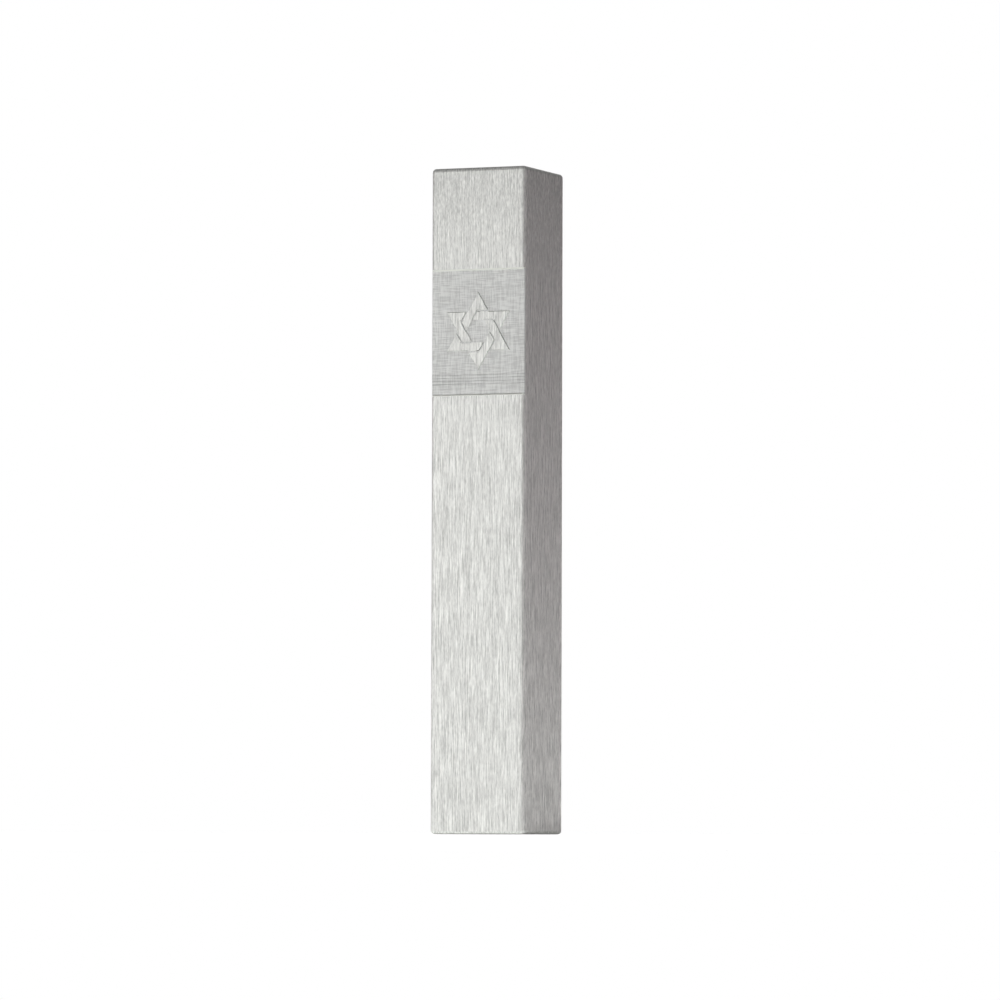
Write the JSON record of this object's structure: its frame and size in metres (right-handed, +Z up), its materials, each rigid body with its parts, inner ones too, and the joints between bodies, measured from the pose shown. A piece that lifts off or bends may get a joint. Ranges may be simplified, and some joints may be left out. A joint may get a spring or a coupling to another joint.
{
  "type": "mezuzah case",
  "caption": "Square brushed metal doorpost case with a raised star on a shallow milled band; it slides over a T-shaped wall plate and holds a rolled scroll in a clear tube under a flush plug.",
  "frame": {"origin": "on the doorpost's surface, midway between the wall plate's two screw holes and midway up the case", "axes": "+Z up along the case, +Y into the doorpost, +X to the right as the viewer faces the case's front"},
  "size_m": [0.0184, 0.0187, 0.12],
  "materials": {
    "case_metal": "brushed lengthwise by hand, clear anodised",
    "plate_metal": "extruded, bead blasted",
    "plug_metal": "turned, clear anodised",
    "foam": "white closed-cell foam tape",
    "screw_steel": "plain stainless",
    "tip_nylon": "natural nylon",
    "ring_rubber": "black nitrile",
    "clear_plastic": "clear, thin-walled",
    "cap_plastic": "natural polyethylene",
    "parchment": "matte cream parchment"
  },
  "bodies": {
    "wall_fixing": {"wall_plate": "plate_metal", "foam_tape_upper": "foam", "foam_tape_lower": "foam"},
    "case": {"case_body": "case_metal"},
    "cartridge": {"closing_plug": "plug_metal", "o_ring_upper": "ring_rubber", "o_ring_lower": "ring_rubber", "scroll_tube": "clear_plastic", "tube_cap": "cap_plastic", "parchment_scroll": "parchment"},
    "screw_tip": {"lock_screw_tip": "tip_nylon"},
    "set_screw": {"lock_screw": "screw_steel"}
  },
  "joints": [
    {"name": "case_lift", "type": "slide", "parent": "wall_fixing", "child": "case", "axis": [0, 0, 1], "range_m": [0, 0.116]},
    {"name": "cartridge_pull", "type": "slide", "parent": "case", "child": "cartridge", "axis": [0, 0, 1], "range_m": [0, 0.118]},
    {"name": "lock_advance", "type": "slide", "parent": "case", "child": "screw_tip", "axis": [-1, 0, 0], "range_m": [0, 0.000674]},
    {"name": "lock_turn", "type": "hinge", "parent": "screw_tip", "child": "set_screw", "pos_m": [-0.0075, -0.00245, -0.05], "axis": [-1, 0, 0], "range_deg": [0, 540]}
  ],
  "couplings": [
    {"joint": "lock_turn", "follows": "lock_advance", "rad_per_m": 13963}
  ]
}
